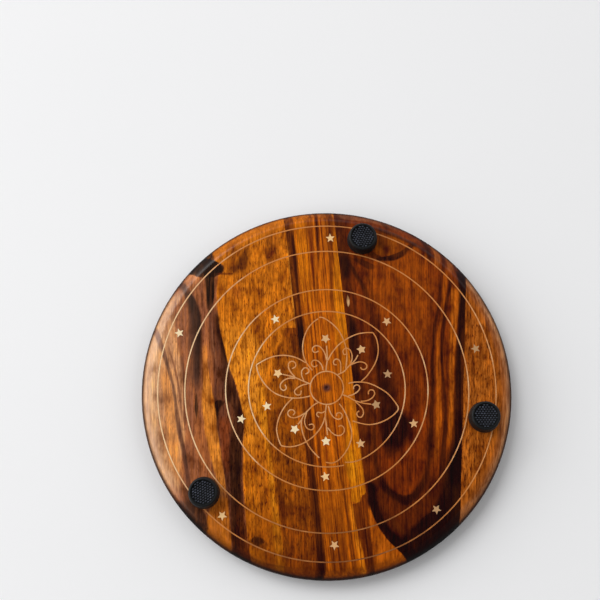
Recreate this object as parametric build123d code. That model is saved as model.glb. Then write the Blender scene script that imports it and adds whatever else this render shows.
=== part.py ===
from build123d import *
import math
import os

# Round wooden rolling board, lying on its plain rolling face with the inlaid underside up.
# Lengths are in millimetres. Angles are in degrees, anticlockwise from +X seen from above.
# The origin is the centre of the rolling face, and +Y points to the board's top edge.

# Board
board_radius = 129.0
board_thickness = 18.0
centre_mark_radius = 1.5
centre_mark_depth = 1.2
cut_overrun = 4.0

# Staves, with widths on the X axis, and the lean of each glued joint in X per unit of Y
left_joint_x = -17.0
left_joint_lean = -0.08
middle_stave_width = 35.6
middle_joint_lean = -0.105
right_stave_width = 34.6
right_joint_lean = 0.061

# Brass inlay
wire_width = 0.8
wire_depth = 1.5
star_thickness = 1.2
groove_clearance = 0.05
bend_share = 0.45

# Ring wires, by their middle lines: the outer two are set out inwards from the board's edge,
# and the next two outwards from the flower
rim_margin = 12.2
outer_band_width = 18.8
inner_band_width = 15.8
flower_margin = 4.1

# The fourth ring is left open at the bottom, and its far end bends inwards past the near one
open_ring_start_angle = -77.8
open_ring_bend_angle = -64.5
open_ring_end_angle = -76.7
open_ring_end_share = 0.968

# Flower, with its centre ring as a share of its radius
flower_radius = 50.0
centre_ring_share = 0.23
petal_tip_turn = 45.0
sharp_tip_bend = 1.2
round_tip_bend = 3.4
least_piece_length = 1.0

# Stars
star_radius = 3.4
star_valley_radius = 1.5
petal_star_valley_radius = 1.8
star_point_count = 5

# Rubber feet
foot_margin = 19.4
foot_angles = {"top_foot": 76.4, "right_foot": -10.6, "left_foot": 220.7}
foot_base_radius = 10.7
foot_skirt_height = 1.2
foot_taper = 0.9
foot_height = 9.0
foot_edge_round = 1.8
foot_rim_width = 2.4
foot_recess_depth = 0.4

# Sizes that follow from those above
middle_joint_x = left_joint_x + middle_stave_width
right_joint_x = board_radius - right_stave_width
outer_ring_radius = board_radius - rim_margin
second_ring_radius = outer_ring_radius - outer_band_width
fourth_ring_radius = flower_radius + flower_margin
third_ring_radius = fourth_ring_radius + inner_band_width
centre_ring_radius = flower_radius * centre_ring_share
outer_star_circle = (outer_ring_radius + second_ring_radius) / 2
middle_star_circle = (third_ring_radius + fourth_ring_radius) / 2
foot_circle_radius = board_radius - foot_margin
foot_tread_radius = foot_base_radius - foot_taper
foot_recess_radius = foot_tread_radius - foot_rim_width

# Each star: the angle of its place, its distance as a share of its circle, and its turn.
# The gap and petal stars lie in the flower, and their circle is the flower's.
outer_star_shares = {
    "outer_star_top": (88.4, 1.004, 22.7),
    "outer_star_left": (159.5, 1.023, 34.5),
    "outer_star_right": (14.9, 1.000, 37.8),
    "outer_star_lower_right": (311.7, 1.026, 58.5),
    "outer_star_bottom": (272.5, 0.985, 52.1),
    "outer_star_lower_left": (230.8, 1.040, 56.6),
}
middle_star_shares = {
    "middle_star_upper_left": (126.5, 0.971, 33.7),
    "middle_star_upper_right": (48.0, 1.018, 50.9),
    "middle_star_right": (337.5, 1.037, 22.5),
    "middle_star_bottom": (268.8, 0.977, 32.2),
    "middle_star_left": (200.2, 1.010, 4.2),
}
gap_star_shares = {
    "gap_star_right": (12.8, 0.866, 16.3),
    "gap_star_left": (197.3, 0.864, 28.4),
    "gap_star_bottom": (300.9, 0.892, 23.3),
}
petal_star_shares = {
    "petal_star_top": (91.2, 0.692, 59.4),
    "petal_star_upper_right": (48.1, 0.724, 30.7),
    "petal_star_right": (340.9, 0.716, 31.4),
    "petal_star_bottom": (268.9, 0.736, 21.6),
    "petal_star_lower_left": (232.3, 0.722, 62.2),
    "petal_star_left": (163.5, 0.706, 60.5),
}

# Petal wires, as runs of corners in shares of the flower's radius.
# A petal is one wire bent at its tip, or two wires that leave the tip open.
right_petal_shares = [
    [
        (0.300, 0.062), (0.380, 0.080), (0.510, 0.082), (0.630, 0.050), (0.756, -0.018),
        (0.844, -0.078), (0.920, -0.170), (0.998, -0.284), (0.924, -0.370), (0.820, -0.440),
        (0.700, -0.492), (0.570, -0.512), (0.450, -0.488), (0.352, -0.458),
    ],
]
upper_right_petal_shares = [
    [
        (0.018, 0.384), (0.056, 0.464), (0.124, 0.560), (0.204, 0.638), (0.312, 0.708),
        (0.428, 0.760), (0.550, 0.780), (0.650, 0.778), (0.696, 0.704), (0.720, 0.590),
        (0.718, 0.480), (0.684, 0.360), (0.624, 0.256), (0.548, 0.154), (0.478, 0.092),
    ],
]
top_petal_shares = [
    [
        (-0.198, 0.244), (-0.240, 0.292), (-0.288, 0.360), (-0.324, 0.452), (-0.338, 0.568),
        (-0.318, 0.708), (-0.262, 0.838), (-0.184, 0.932), (-0.116, 0.976),
    ],
    [
        (-0.104, 0.996), (-0.060, 0.998), (0.024, 0.952), (0.112, 0.878), (0.188, 0.786),
        (0.238, 0.676), (0.270, 0.572), (0.284, 0.470), (0.278, 0.370), (0.264, 0.272),
    ],
]
left_petal_shares = [
    [
        (-0.290, 0.350), (-0.390, 0.410), (-0.500, 0.446), (-0.620, 0.458), (-0.750, 0.438),
        (-0.860, 0.392), (-0.978, 0.320), (-0.956, 0.220), (-0.904, 0.112), (-0.830, 0.016),
        (-0.730, -0.072), (-0.610, -0.122), (-0.480, -0.146), (-0.340, -0.140), (-0.230, -0.114),
    ],
]
lower_left_petal_shares = [
    [
        (-0.478, -0.150), (-0.568, -0.240), (-0.638, -0.356), (-0.680, -0.480), (-0.692, -0.584),
        (-0.670, -0.692), (-0.628, -0.796), (-0.520, -0.816), (-0.400, -0.796), (-0.284, -0.744),
        (-0.176, -0.664), (-0.092, -0.564), (-0.044, -0.468), (-0.030, -0.400),
    ],
]
bottom_petal_shares = [
    [
        (-0.316, -0.378), (-0.348, -0.436), (-0.354, -0.520), (-0.330, -0.640), (-0.276, -0.760),
        (-0.198, -0.872), (-0.108, -0.960),
    ],
    [
        (0.170, -0.220), (0.228, -0.296), (0.272, -0.390), (0.312, -0.488), (0.338, -0.590),
        (0.336, -0.696), (0.296, -0.812), (0.220, -0.928), (0.140, -1.004), (0.068, -1.034),
        (-0.020, -1.020),
    ],
]

# Stems from the centre ring towards the petal stars, in shares of the flower's radius
top_stem_shares = [
    [(-0.010, 0.230), (-0.008, 0.284), (0.006, 0.364), (0.007, 0.460), (0.000, 0.592)],
]
upper_right_stem_shares = [
    [(0.144, 0.180), (0.244, 0.226), (0.300, 0.300), (0.392, 0.378), (0.436, 0.460)],
]
right_stem_shares = [
    [(0.210, -0.094), (0.284, -0.118), (0.380, -0.178), (0.500, -0.214), (0.608, -0.226)],
]
bottom_stem_shares = [
    [(-0.006, -0.230), (-0.018, -0.316), (-0.024, -0.400), (-0.006, -0.520), (0.006, -0.652)],
]
lower_left_stem_shares = [
    [(-0.114, -0.200), (-0.192, -0.244), (-0.264, -0.316), (-0.315, -0.376)],
    [(-0.356, -0.446), (-0.374, -0.476), (-0.398, -0.504)],
]
left_stem_shares = [
    [(-0.224, 0.052), (-0.316, 0.088), (-0.416, 0.136), (-0.510, 0.166), (-0.608, 0.186)],
]

# Scrolls that curl out of the stems inside each petal, in shares of the flower's radius
top_scroll_shares = [
    [
        (-0.002, 0.388), (-0.016, 0.464), (-0.046, 0.528), (-0.100, 0.588), (-0.164, 0.594),
        (-0.204, 0.552), (-0.188, 0.502), (-0.148, 0.494), (-0.112, 0.518),
    ],
    [
        (-0.052, 0.248), (-0.058, 0.296), (-0.088, 0.348), (-0.132, 0.384), (-0.182, 0.390),
        (-0.216, 0.352), (-0.202, 0.302), (-0.160, 0.290), (-0.128, 0.318),
    ],
    [
        (0.194, 0.210), (0.196, 0.300), (0.192, 0.364), (0.162, 0.402), (0.116, 0.402),
        (0.090, 0.364), (0.102, 0.322), (0.140, 0.322),
    ],
]
upper_right_scroll_shares = [
    [
        (0.334, 0.344), (0.354, 0.400), (0.354, 0.474), (0.324, 0.542), (0.264, 0.564),
        (0.222, 0.520), (0.238, 0.464), (0.276, 0.474),
    ],
    [
        (0.326, 0.316), (0.392, 0.348), (0.460, 0.368), (0.534, 0.350), (0.566, 0.304),
        (0.538, 0.258), (0.490, 0.254), (0.468, 0.288),
    ],
]
right_scroll_shares = [
    [
        (0.292, -0.112), (0.356, -0.098), (0.422, -0.058), (0.460, -0.008), (0.446, 0.036),
        (0.404, 0.044), (0.370, 0.018), (0.370, -0.020),
    ],
    [
        (0.468, -0.187), (0.528, -0.184), (0.588, -0.166), (0.638, -0.128), (0.664, -0.080),
        (0.648, -0.032), (0.600, -0.024), (0.572, -0.054), (0.574, -0.090),
    ],
    [
        (0.392, -0.192), (0.444, -0.236), (0.494, -0.292), (0.506, -0.360), (0.468, -0.414),
        (0.420, -0.396), (0.404, -0.348), (0.444, -0.318),
    ],
]
bottom_scroll_shares = [
    [
        (0.009, -0.548), (0.052, -0.608), (0.120, -0.658), (0.190, -0.658), (0.238, -0.608),
        (0.236, -0.548), (0.192, -0.514), (0.156, -0.536),
    ],
    [
        (0.018, -0.252), (0.044, -0.340), (0.088, -0.410), (0.154, -0.440), (0.208, -0.418),
        (0.210, -0.362), (0.168, -0.338), (0.130, -0.360), (0.132, -0.392),
    ],
    [(-0.026, -0.326), (-0.076, -0.352), (-0.128, -0.332), (-0.146, -0.378), (-0.106, -0.406)],
]
lower_left_scroll_shares = [
    [
        (-0.304, -0.352), (-0.376, -0.396), (-0.452, -0.420), (-0.518, -0.400), (-0.544, -0.352),
        (-0.514, -0.304), (-0.460, -0.304), (-0.434, -0.346), (-0.466, -0.378),
    ],
    [
        (-0.278, -0.344), (-0.300, -0.408), (-0.310, -0.484), (-0.278, -0.562), (-0.208, -0.586),
        (-0.170, -0.546), (-0.192, -0.496), (-0.250, -0.512),
    ],
]
left_scroll_shares = [
    [
        (-0.440, 0.152), (-0.494, 0.208), (-0.534, 0.280), (-0.530, 0.350), (-0.478, 0.378),
        (-0.426, 0.344), (-0.434, 0.288), (-0.482, 0.268),
    ],
    [
        (-0.316, 0.098), (-0.348, 0.168), (-0.350, 0.240), (-0.304, 0.286), (-0.250, 0.268),
        (-0.242, 0.216), (-0.294, 0.192),
    ],
    [
        (-0.440, 0.128), (-0.512, 0.138), (-0.592, 0.110), (-0.646, 0.046), (-0.640, -0.018),
        (-0.588, -0.044), (-0.552, -0.004), (-0.578, 0.042),
    ],
    [
        (-0.266, 0.055), (-0.344, 0.036), (-0.412, -0.002), (-0.454, -0.052), (-0.424, -0.100),
        (-0.362, -0.102), (-0.352, -0.040),
    ],
]


def on_circle(angle, radius):
    """A point on a circle round the board's centre."""
    turn = math.radians(angle)
    return (radius * math.cos(turn), radius * math.sin(turn))


def bent_path(corner_shares, tip_bend):
    """A wire's middle line: straight runs joined by arcs that take just under half of a run."""
    corners = [(x * flower_radius, y * flower_radius) for x, y in corner_shares]
    bends = []
    for before, corner, after in zip(corners, corners[1:], corners[2:]):
        run_in = Vector(*corner) - Vector(*before)
        run_out = Vector(*after) - Vector(*corner)
        turn = run_in.get_angle(run_out)
        shorter_run = min(run_in.length, run_out.length)
        bend = bend_share * shorter_run / math.tan(math.radians(turn) / 2)
        if tip_bend is not None and turn > petal_tip_turn:
            bend = min(bend, tip_bend)
        bends.append(bend)
    return FilletPolyline(*corners, radius=bends)


def open_ring_path():
    """The fourth ring's middle line, with its far end bent inwards."""
    sweep = open_ring_bend_angle - open_ring_start_angle - 360
    arc = CenterArc((0, 0), fourth_ring_radius, open_ring_start_angle, sweep)
    end = on_circle(open_ring_end_angle, fourth_ring_radius * open_ring_end_share)
    bend = TangentArc(arc @ 1, end, tangent=arc % 1)
    return Curve() + [arc, bend]


def ring_strip(radius, width):
    """A flat closed ring."""
    return Circle(radius + width / 2) - Circle(radius - width / 2)


def star_plate(place, turn, tip_radius, valley_radius):
    """A star with its points at the tip radius and the corners between them at the valley radius."""
    step = 180 / star_point_count
    corners = []
    for index in range(2 * star_point_count):
        radius = tip_radius if index % 2 == 0 else valley_radius
        x, y = on_circle(turn + index * step, radius)
        corners.append((place[0] + x, place[1] + y))
    return make_face(Polyline(*corners, close=True))


def star_band(stars, circle, valley_radius, clearance):
    """The named stars of one band."""
    band = {}
    for name, (angle, distance_share, turn) in stars.items():
        place = on_circle(angle, circle * distance_share)
        band[name] = star_plate(place, turn, star_radius + clearance, valley_radius + clearance)
    return band


def all_stars(clearance):
    """Every star, or its pocket when a clearance is given."""
    stars = {}
    stars.update(star_band(outer_star_shares, outer_star_circle, star_valley_radius, clearance))
    stars.update(star_band(middle_star_shares, middle_star_circle, star_valley_radius, clearance))
    stars.update(star_band(gap_star_shares, flower_radius, star_valley_radius, clearance))
    stars.update(star_band(petal_star_shares, flower_radius, petal_star_valley_radius, clearance))
    return stars


def all_strips(width):
    """Every wire as a flat strip, in the order that the wires are laid."""
    strips = [
        ("outer_ring_wire", ring_strip(outer_ring_radius, width)),
        ("second_ring_wire", ring_strip(second_ring_radius, width)),
        ("third_ring_wire", ring_strip(third_ring_radius, width)),
        ("fourth_ring_wire", trace(open_ring_path(), width)),
        ("centre_ring_wire", ring_strip(centre_ring_radius, width)),
    ]
    flower = [
        ("right_petal_wire", right_petal_shares, round_tip_bend),
        ("upper_right_petal_wire", upper_right_petal_shares, sharp_tip_bend),
        ("top_petal_wires", top_petal_shares, sharp_tip_bend),
        ("left_petal_wire", left_petal_shares, sharp_tip_bend),
        ("lower_left_petal_wire", lower_left_petal_shares, sharp_tip_bend),
        ("bottom_petal_wires", bottom_petal_shares, sharp_tip_bend),
        ("top_stem_wire", top_stem_shares, None),
        ("upper_right_stem_wire", upper_right_stem_shares, None),
        ("right_stem_wire", right_stem_shares, None),
        ("bottom_stem_wire", bottom_stem_shares, None),
        ("lower_left_stem_wires", lower_left_stem_shares, None),
        ("left_stem_wire", left_stem_shares, None),
        ("top_scroll_wires", top_scroll_shares, None),
        ("upper_right_scroll_wires", upper_right_scroll_shares, None),
        ("right_scroll_wires", right_scroll_shares, None),
        ("bottom_scroll_wires", bottom_scroll_shares, None),
        ("lower_left_scroll_wires", lower_left_scroll_shares, None),
        ("left_scroll_wires", left_scroll_shares, None),
    ]
    for name, runs, tip_bend in flower:
        for corner_shares in runs:
            strips.append((name, trace(bent_path(corner_shares, tip_bend), width)))
    return strips


def meet(one, other):
    """Whether the boxes round two flat shapes overlap."""
    one_box = one.bounding_box()
    other_box = other.bounding_box()
    apart_in_x = one_box.min.X > other_box.max.X or other_box.min.X > one_box.max.X
    apart_in_y = one_box.min.Y > other_box.max.Y or other_box.min.Y > one_box.max.Y
    return not (apart_in_x or apart_in_y)


def cut_back(strip, taken):
    """The pieces of a strip that the places already taken leave over."""
    left = strip
    for place in taken:
        if meet(left, place):
            left = left - place
    least_area = wire_width * least_piece_length
    return [face for face in left.faces() if face.area > least_area]


def laid_wires(strips, grooves, pockets):
    """Each wire node's flat pieces: a wire stops short where it meets a star or an earlier wire."""
    taken = list(pockets.values())
    wires = {}
    for (name, strip), (groove_name, groove) in zip(strips, grooves):
        wires.setdefault(name, []).extend(cut_back(strip, taken))
        taken.append(groove)
    return wires


def set_in(faces, depth):
    """Solids of one depth, flush with the inlaid face."""
    return [extrude(Pos(0, 0, board_thickness) * face, amount=-depth).solid() for face in faces]


def groove_solids(grooves, pockets):
    """The grooves and star pockets as solids to cut from the staves."""
    floor_plan = Sketch() + [groove for name, groove in grooves]
    for pocket in pockets.values():
        if meet(floor_plan, pocket):
            floor_plan = floor_plan - pocket
    return set_in(floor_plan.faces(), wire_depth) + set_in(pockets.values(), star_thickness)


def board_blank():
    """The turned disc with its full round edge."""
    half = board_thickness / 2
    flat_radius = board_radius - half
    core = Plane.XZ * Pos(flat_radius / 2, half) * Rectangle(flat_radius, board_thickness)
    edge = Plane.XZ * Pos(flat_radius, half) * Circle(half)
    return revolve(core + edge, Axis.Z)


def centre_mark():
    """The small pit that the lathe's centre leaves in the inlaid face."""
    pit = Cone(0, centre_mark_radius, centre_mark_depth)
    return Pos(0, 0, board_thickness - centre_mark_depth / 2) * pit


def joint_line(crossing, lean):
    """The ends of a glued joint, past the board's bottom and top edges."""
    reach = board_radius + cut_overrun
    return ((crossing - lean * reach, -reach), (crossing + lean * reach, reach))


def stave(blank, left_line, right_line, cutters):
    """One stave of the disc between two joint lines, with the inlay's grooves cut in it."""
    outline = make_face(Polyline(left_line[0], right_line[0], right_line[1], left_line[1], close=True))
    body = blank & extrude(outline, amount=board_thickness)
    near = [cutter for cutter in cutters if meet(body, cutter)]
    return (body - near).solid()


def rubber_foot(angle):
    """A moulded foot glued flat on the inlaid face, with a rounded rim round a sunk tread."""
    profile = Polyline(
        (0, 0),
        (foot_base_radius, 0),
        (foot_base_radius, foot_skirt_height),
        (foot_tread_radius, foot_height),
        (0, foot_height),
        close=True,
    )
    body = revolve(Plane.XZ * make_face(profile), Axis.Z)
    rim = body.edges().filter_by(GeomType.CIRCLE).sort_by(Axis.Z)[-1]
    body = fillet(rim, foot_edge_round)
    recess = Pos(0, 0, foot_height) * Cylinder(foot_recess_radius, 2 * foot_recess_depth)
    x, y = on_circle(angle, foot_circle_radius)
    return (Pos(x, y, board_thickness) * (body - recess)).solid()


def board_staves(cutters):
    """The four staves, from left to right."""
    blank = board_blank()
    left_edge = joint_line(-board_radius - cut_overrun, 0)
    left_joint = joint_line(left_joint_x, left_joint_lean)
    middle_joint = joint_line(middle_joint_x, middle_joint_lean)
    right_joint = joint_line(right_joint_x, right_joint_lean)
    right_edge = joint_line(board_radius + cut_overrun, 0)
    return {
        "left_stave": [stave(blank, left_edge, left_joint, cutters)],
        "middle_stave": [stave(blank, left_joint, middle_joint, cutters + [centre_mark()])],
        "wide_stave": [stave(blank, middle_joint, right_joint, cutters)],
        "right_stave": [stave(blank, right_joint, right_edge, cutters)],
    }


stars = all_stars(0)
pockets = all_stars(groove_clearance)
strips = all_strips(wire_width)
grooves = all_strips(wire_width + 2 * groove_clearance)

nodes = board_staves(groove_solids(grooves, pockets))
for name, faces in laid_wires(strips, grooves, pockets).items():
    nodes[name] = set_in(faces, wire_depth)
for name, face in stars.items():
    nodes[name] = set_in([face], star_thickness)
for name, angle in foot_angles.items():
    nodes[name] = [rubber_foot(angle)]

os.makedirs("parts", exist_ok=True)
for name, solids in nodes.items():
    shape = solids[0] if len(solids) == 1 else Compound(children=solids)
    export_step(shape, f"parts/{name}.step")
print(len(nodes), "nodes,", sum(len(solids) for solids in nodes.values()), "solids")
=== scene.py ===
import math

import bmesh
import bpy
from mathutils import Matrix, Vector


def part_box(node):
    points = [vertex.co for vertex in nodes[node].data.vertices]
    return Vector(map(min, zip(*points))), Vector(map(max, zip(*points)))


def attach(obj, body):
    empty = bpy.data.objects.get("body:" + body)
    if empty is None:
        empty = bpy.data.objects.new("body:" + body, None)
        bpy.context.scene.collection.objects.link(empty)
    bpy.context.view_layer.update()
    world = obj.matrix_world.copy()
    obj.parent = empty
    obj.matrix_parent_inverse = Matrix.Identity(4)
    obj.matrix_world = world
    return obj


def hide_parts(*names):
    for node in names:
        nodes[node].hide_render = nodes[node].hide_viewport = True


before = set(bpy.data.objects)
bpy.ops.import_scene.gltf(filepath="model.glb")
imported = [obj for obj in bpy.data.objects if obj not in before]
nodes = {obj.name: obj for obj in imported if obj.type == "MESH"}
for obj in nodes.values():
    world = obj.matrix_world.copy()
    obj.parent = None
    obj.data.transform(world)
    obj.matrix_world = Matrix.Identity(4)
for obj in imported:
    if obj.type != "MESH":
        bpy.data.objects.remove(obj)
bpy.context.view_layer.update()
scene = bpy.context.scene

mm = 0.001
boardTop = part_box("middle_stave")[1].z  # the inlaid face
print("frame loaded:", len(nodes), "nodes")


# Small helpers for node trees. An input is a number, a colour, or the socket that feeds it.

def feed(tree, node, inputs):
    for key, value in inputs.items():
        if isinstance(value, bpy.types.NodeSocket):
            tree.links.new(value, node.inputs[key])
        else:
            node.inputs[key].default_value = value


def addNode(tree, kind, inputs=None, **settings):
    made = tree.nodes.new(kind)
    for key, value in settings.items():
        setattr(made, key, value)
    feed(tree, made, inputs or {})
    return made


def calc(tree, operation, first, second=0.0, third=0.0, clamp=False):
    inputs = {0: first, 1: second, 2: third}
    return addNode(tree, "ShaderNodeMath", inputs, operation=operation, use_clamp=clamp).outputs[0]


def times(tree, first, second, clamp=False):
    return calc(tree, "MULTIPLY", first, second, clamp=clamp)


def aboutMiddle(tree, pattern, size):  # a pattern's departure from its middle value, scaled
    return times(tree, calc(tree, "SUBTRACT", pattern, 0.5), size)


def blendColours(tree, amount, ground, over, kind="MIX", clamped=False):
    inputs = {0: amount, 6: ground, 7: over}
    settings = {"data_type": "RGBA", "blend_type": kind, "clamp_result": clamped}
    return addNode(tree, "ShaderNodeMix", inputs, **settings).outputs[2]


def ramp(tree, value, low, high, start=0.0, end=1.0, kind="SMOOTHSTEP"):
    inputs = {0: value, 1: low, 2: high, 3: start, 4: end}
    return addNode(tree, "ShaderNodeMapRange", inputs, interpolation_type=kind).outputs[0]


def objectPlace(tree):
    return addNode(tree, "ShaderNodeTexCoord").outputs["Object"]


def placeInMillimetres(tree):
    inputs = {0: objectPlace(tree), "Scale": 1 / mm}
    return addNode(tree, "ShaderNodeVectorMath", inputs, operation="SCALE").outputs[0]


def split(tree, vector):
    return addNode(tree, "ShaderNodeSeparateXYZ", {0: vector}).outputs


def stretchedNoise(tree, places, width, length, detail, roughness, seed=0.0):
    across, along, down = places
    inputs = {}
    for axis, (value, size) in enumerate(((across, width), (along, length), (down, width))):
        inputs[axis] = calc(tree, "DIVIDE", value, size)
    vector = addNode(tree, "ShaderNodeCombineXYZ", inputs).outputs[0]
    inputs = {"Vector": vector, "W": seed, "Scale": 1.0, "Detail": detail, "Roughness": roughness}
    return addNode(tree, "ShaderNodeTexNoise", inputs, noise_dimensions="4D").outputs["Fac"]


def plainNoise(tree, scale, detail):
    inputs = {"Vector": objectPlace(tree), "Scale": scale, "Detail": detail}
    return addNode(tree, "ShaderNodeTexNoise", inputs).outputs[0]


def bump(tree, height, strength, distance):
    inputs = {"Height": height, "Strength": strength, "Distance": distance}
    return addNode(tree, "ShaderNodeBump", inputs).outputs[0]


def tone(red, green, blue):  # a screen colour, 0 to 255, as the linear one that sockets hold
    def linear(value):
        share = value / 255
        return share / 12.92 if share <= 0.04045 else ((share + 0.055) / 1.055) ** 2.4
    return (linear(red), linear(green), linear(blue), 1.0)


def newMaterial(name):
    material = bpy.data.materials.new(name)
    material.use_nodes = True
    tree = material.node_tree
    tree.nodes.clear()
    shader = addNode(tree, "ShaderNodeBsdfPrincipled")
    addNode(tree, "ShaderNodeOutputMaterial", {"Surface": shader.outputs["BSDF"]})
    return material, tree, shader


colourLabels = ("Colour", "Ground", "Tone", "Edges")  # a group's other inputs and outputs are numbers


def newGroup(name, inputs, outputs):
    group = bpy.data.node_groups.new(name, "ShaderNodeTree")
    for side, labels in (("INPUT", inputs), ("OUTPUT", outputs)):
        for label in labels:
            kind = "NodeSocketColor" if label in colourLabels else "NodeSocketFloat"
            group.interface.new_socket(label, in_out=side, socket_type=kind)
    return group, addNode(group, "NodeGroupInput").outputs, addNode(group, "NodeGroupOutput")


# Wood. The grain group gives places in the board, in millimetres and pushed about by the fibres,
# and the streak group lays one colour of the figure over another.

grain = {
    "reach": 130.0,  # the figure's tables run from minus this to plus this
    "drift": 0.35,  # how far the figure leans as it goes down through the board
    "poreEdge": (0.57, 0.69),
    "strandEdge": (0.42, 0.62, 1.0, 0.78),  # the weakest fibres leave out a part of a streak
    # the figure's swings: width and length in millimetres, size, and what is added to the seed
    "deepSwing": (26, 80, 14.0, 1.0),  # grows with the depth, so the other face's figure is another one
    "broadSwing": (12, 60, 1.0, 2.0),
    "fineSwing": (1.1, 16, 0.5, 3.0),
    "raggedSwing": (0.9, 30, 1.0, 4.0),
}
# each pattern's width and length in millimetres, its detail, roughness, and what is added to the seed
grainPatterns = {
    "Fibre": (1.1, 17, 4.0, 0.62, 0.0),
    "Strand": (1.9, 38, 3.0, 0.6, 5.0),
    "Thread": (1.25, 90, 2.0, 0.6, 6.0),
    "Stripe": (3.2, 75, 3.0, 0.55, 0.0),
    "Pore": (0.75, 3.8, 1.0, 0.5, 0.0),
    "Fleck": (1.7, 6.5, 3.0, 0.6, 0.0),
    "Cloud": (9, 15, 3.0, 0.55, 0.0),
}


def makeGrainGroup():
    outputs = ["East", "Across", "Along", "Down", "Centre", *grainPatterns]
    group, given, result = newGroup("woodGrain", ["Lean", "Seed", "Ragged"], outputs)
    place = placeInMillimetres(group)
    x, y, z = split(group, place)
    down = calc(group, "SUBTRACT", boardTop / mm, z)
    straight = calc(group, "SUBTRACT", x, times(group, y, given["Lean"]))

    def pattern(side, width, length, detail=2.0, roughness=0.5, shift=0.0):
        seed = calc(group, "ADD", given["Seed"], shift)
        return stretchedNoise(group, (side, y, down), width, length, detail, roughness, seed)

    def swing(name):
        width, length, size, shift = grain[name]
        return aboutMiddle(group, pattern(straight, width, length, shift=shift), 2 * size)

    made = {}
    for key, settings in grainPatterns.items():
        side = x if key == "Cloud" else straight  # clouds don't lean with the fibres
        made[key] = pattern(side, *settings)
    made["Strand"] = ramp(group, made["Strand"], *grain["strandEdge"])
    made["Pore"] = ramp(group, made["Pore"], *grain["poreEdge"])

    across = calc(group, "MULTIPLY_ADD", down, grain["drift"], x)
    depthShare = calc(group, "DIVIDE", down, boardTop / mm)
    for push in (times(group, swing("deepSwing"), depthShare), swing("broadSwing"), swing("fineSwing")):
        across = calc(group, "ADD", across, push)
    ragged = calc(group, "MULTIPLY_ADD", swing("raggedSwing"), given["Ragged"], y)
    middle = {0: place, 1: (0, 0, boardTop / mm)}
    made.update({
        "East": x,
        "Across": across,
        "Along": ramp(group, ragged, -grain["reach"], grain["reach"], kind="LINEAR"),
        "Down": down,
        "Centre": addNode(group, "ShaderNodeVectorMath", middle, operation="DISTANCE").outputs["Value"],
    })
    feed(group, result, made)
    return group


def makeStreakGroup():
    inputs = ["Ground", "Tone", "Edges", "Across", "Fibre", "Strand", "Comb", "Left soft", "Right soft"]
    group, given, result = newGroup("woodStreak", inputs, ["Colour"])
    left, right, strength = addNode(group, "ShaderNodeSeparateColor", {0: given["Edges"]}).outputs
    comb = aboutMiddle(group, given["Fibre"], given["Comb"])

    def within(edge, side, soft):
        inMillimetres = calc(group, "MULTIPLY_ADD", edge, 2 * grain["reach"], -grain["reach"])
        distance = times(group, calc(group, "SUBTRACT", given["Across"], inMillimetres), side)
        return ramp(group, calc(group, "ADD", calc(group, "DIVIDE", distance, soft), comb), -1.0, 1.0)

    amount = within(left, 1.0, given["Left soft"])
    for share in (within(right, -1.0, given["Right soft"]), strength, given["Strand"]):
        amount = times(group, amount, share)
    feed(group, result, {"Colour": blendColours(group, amount, given["Ground"], given["Tone"])})
    return group


# How the figure is finished, with painted shade on the round edge and a painted sheen on the left. A ramp
# is from and to in millimetres, over the depth under the inlaid face, over X or over the distance from the
# middle of the face, and the values there where they aren't 0 and 1.

finishLook = {
    "darkGrain": (0.34, 0.20, 0.08, 1),
    "lightGrain": (1.35, 1.28, 0.95, 1),
    "grainGain": 5.0,
    "poreTone": (0.30, 0.17, 0.12, 1),
    "turnedByDepth": (0.0, 0.5, 0.0, 0.5),  # turned across the fibres, the edge is plainer
    "turnedTone": (0.68, 0.62, 0.6, 1),
    "shadowLoss": (0, 0.003, 0.005, 1),  # oiled wood keeps its shadows warm
    "paintedEdgeShadeByDepth": (1.4, 4.6),  # painted shade darkens the round edge as it turns down, away from the light
    "paintedEdgeShadeTone": (0.1, 0.08, 0.08, 1),
    "poresByX": (-84, -56, 0.5, 1.0),  # the heartwood on the left has finer pores
    "poresByRadius": (115, 122, 1.0, 0.3),  # and lacquer fills them by the edge
    "paintedSheenByX": (-124, -80, 0.14, 0.0),  # a pale painted sheen on the left, where the side light falls
    "paintedSheenByDepth": (1.0, 3.0, 1.0, 0.0),
    "paintedSheenTone": (214, 170, 138),
    "centreDarkByRadius": (1.2, 4.2, 0.9, 0.0),  # the wood is darker in and around the centre mark
    "centreDarkTone": (62, 32, 34),
    "glossByDepth": (1.2, 4.0, 0.7, 0.05),
    "wornByDepth": (0.0, 0.3),  # the round edge has worn dull, least on the left
    "keptByX": (-118, -92, 0.7, 0.2),
    "glossByRadius": (1.0, 2.0),  # the centre mark has none
    "roughness": 0.6,
    "specular": 0.05,
    "coatRoughness": 0.17,
    "coatIor": 1.5,
    "grainBump": (0.25, 0.05 * mm),  # strength and depth
    "ripple": (90.0, 1.0),  # the lacquer's, scale and detail
    "rippleBump": (0.1, 0.12 * mm),
}
shades = ("Fibre", "Thread", "Stripe", "Fleck", "Cloud")


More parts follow.
